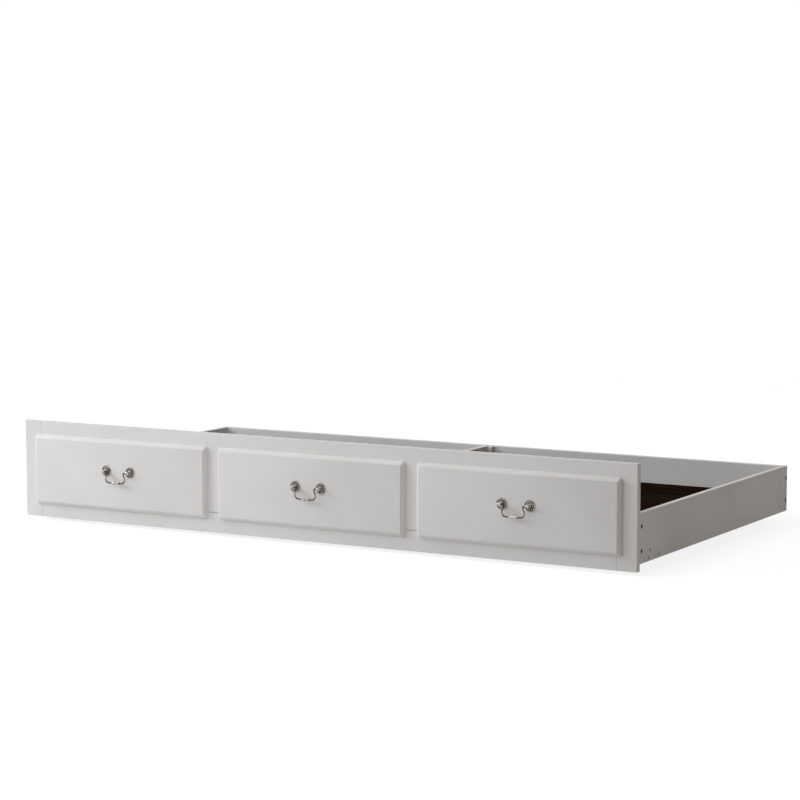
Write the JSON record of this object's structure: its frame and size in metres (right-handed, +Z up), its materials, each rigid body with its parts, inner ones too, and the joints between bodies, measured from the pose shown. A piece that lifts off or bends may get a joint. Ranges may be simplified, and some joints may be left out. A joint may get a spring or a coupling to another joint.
{
  "type": "trundle bed",
  "caption": "White trundle bed: a low divided tray on swivel casters behind a face frame with false drawer fronts and swinging bail pulls.",
  "frame": {"origin": "middle of the bounding box, on the floor under the casters", "axes": "+X along the front to its right end, +Y from the drawer fronts towards the back panel, +Z up"},
  "size_m": [1.95, 1.0944, 0.292],
  "materials": {
    "white_paint": "satin white paint over close-grained wood, eased edges",
    "brown_deck": "dark brown stained panel, satin",
    "bare_pine": "planed, unfinished",
    "beech": "plain turned",
    "dark_screw": "dark browned steel",
    "black_bolt": "black zinc, satin",
    "zinc": "bright zinc plate",
    "antique_nickel": "polished nickel with darkened hollows",
    "black_nylon": "moulded, fine matt"
  },
  "bodies": {
    "bed": {"left_stile": "white_paint", "right_stile": "white_paint", "top_rail": "white_paint", "bottom_rail": "white_paint", "left_mid_stile": "white_paint", "right_mid_stile": "white_paint", "left_drawer_front": "white_paint", "center_drawer_front": "white_paint", "right_drawer_front": "white_paint", "apron": "white_paint", "left_side_panel": "white_paint", "right_side_panel": "white_paint", "back_panel": "white_paint", "center_divider": "white_paint", "divider_cleats": "white_paint", "left_deck_panel": "brown_deck", "right_deck_panel": "brown_deck", "front_bearer": "bare_pine", "rear_bearer": "bare_pine", "corner_blocks": "bare_pine", "left_ledger": "bare_pine", "right_ledger": "bare_pine", "divider_ledgers": "bare_pine", "frame_dowels": "beech", "drawer_front_screws": "dark_screw", "frame_screws": "dark_screw", "divider_screws": "dark_screw", "corner_screws": "dark_screw", "side_bolts": "black_bolt", "barrel_nuts": "zinc", "pull_screws": "zinc", "caster_screws": "zinc", "caster_kingpins": "zinc", "caster_balls": "zinc", "front_left_caster_plate": "zinc", "front_right_caster_plate": "zinc", "rear_left_caster_plate": "zinc", "rear_right_caster_plate": "zinc", "pull_rosettes": "antique_nickel", "pull_posts": "antique_nickel"},
    "left_bail": {"left_bail": "antique_nickel"},
    "center_bail": {"center_bail": "antique_nickel"},
    "right_bail": {"right_bail": "antique_nickel"},
    "front_left_swivel": {"front_left_caster_fork": "zinc", "front_left_caster_axle": "zinc"},
    "front_left_wheel": {"front_left_caster_wheel": "black_nylon"},
    "front_right_swivel": {"front_right_caster_fork": "zinc", "front_right_caster_axle": "zinc"},
    "front_right_wheel": {"front_right_caster_wheel": "black_nylon"},
    "rear_left_swivel": {"rear_left_caster_fork": "zinc", "rear_left_caster_axle": "zinc"},
    "rear_left_wheel": {"rear_left_caster_wheel": "black_nylon"},
    "rear_right_swivel": {"rear_right_caster_fork": "zinc", "rear_right_caster_axle": "zinc"},
    "rear_right_wheel": {"rear_right_caster_wheel": "black_nylon"}
  },
  "joints": [
    {"name": "left_bail_swing", "type": "hinge", "parent": "bed", "child": "left_bail", "pos_m": [-0.635, -0.5418, 0.1635], "axis": [-1, 0, 0], "range_deg": [-18, 198]},
    {"name": "center_bail_swing", "type": "hinge", "parent": "bed", "child": "center_bail", "pos_m": [0, -0.5418, 0.1635], "axis": [-1, 0, 0], "range_deg": [-18, 198]},
    {"name": "right_bail_swing", "type": "hinge", "parent": "bed", "child": "right_bail", "pos_m": [0.635, -0.5418, 0.1635], "axis": [-1, 0, 0], "range_deg": [-18, 198]},
    {"name": "front_left_caster_swivel", "type": "hinge", "parent": "bed", "child": "front_left_swivel", "pos_m": [-0.715, -0.4093, 0.041], "axis": [0, 0, 1], "continuous": true},
    {"name": "front_left_wheel_roll", "type": "hinge", "parent": "front_left_swivel", "child": "front_left_wheel", "pos_m": [-0.715, -0.3933, 0.019], "axis": [1, 0, 0], "continuous": true},
    {"name": "front_right_caster_swivel", "type": "hinge", "parent": "bed", "child": "front_right_swivel", "pos_m": [0.715, -0.4093, 0.041], "axis": [0, 0, 1], "continuous": true},
    {"name": "front_right_wheel_roll", "type": "hinge", "parent": "front_right_swivel", "child": "front_right_wheel", "pos_m": [0.715, -0.3933, 0.019], "axis": [1, 0, 0], "continuous": true},
    {"name": "rear_left_caster_swivel", "type": "hinge", "parent": "bed", "child": "rear_left_swivel", "pos_m": [-0.715, 0.4617, 0.041], "axis": [0, 0, 1], "continuous": true},
    {"name": "rear_left_wheel_roll", "type": "hinge", "parent": "rear_left_swivel", "child": "rear_left_wheel", "pos_m": [-0.715, 0.4777, 0.019], "axis": [1, 0, 0], "continuous": true},
    {"name": "rear_right_caster_swivel", "type": "hinge", "parent": "bed", "child": "rear_right_swivel", "pos_m": [0.715, 0.4617, 0.041], "axis": [0, 0, 1], "continuous": true},
    {"name": "rear_right_wheel_roll", "type": "hinge", "parent": "rear_right_swivel", "child": "rear_right_wheel", "pos_m": [0.715, 0.4777, 0.019], "axis": [1, 0, 0], "continuous": true}
  ]
}
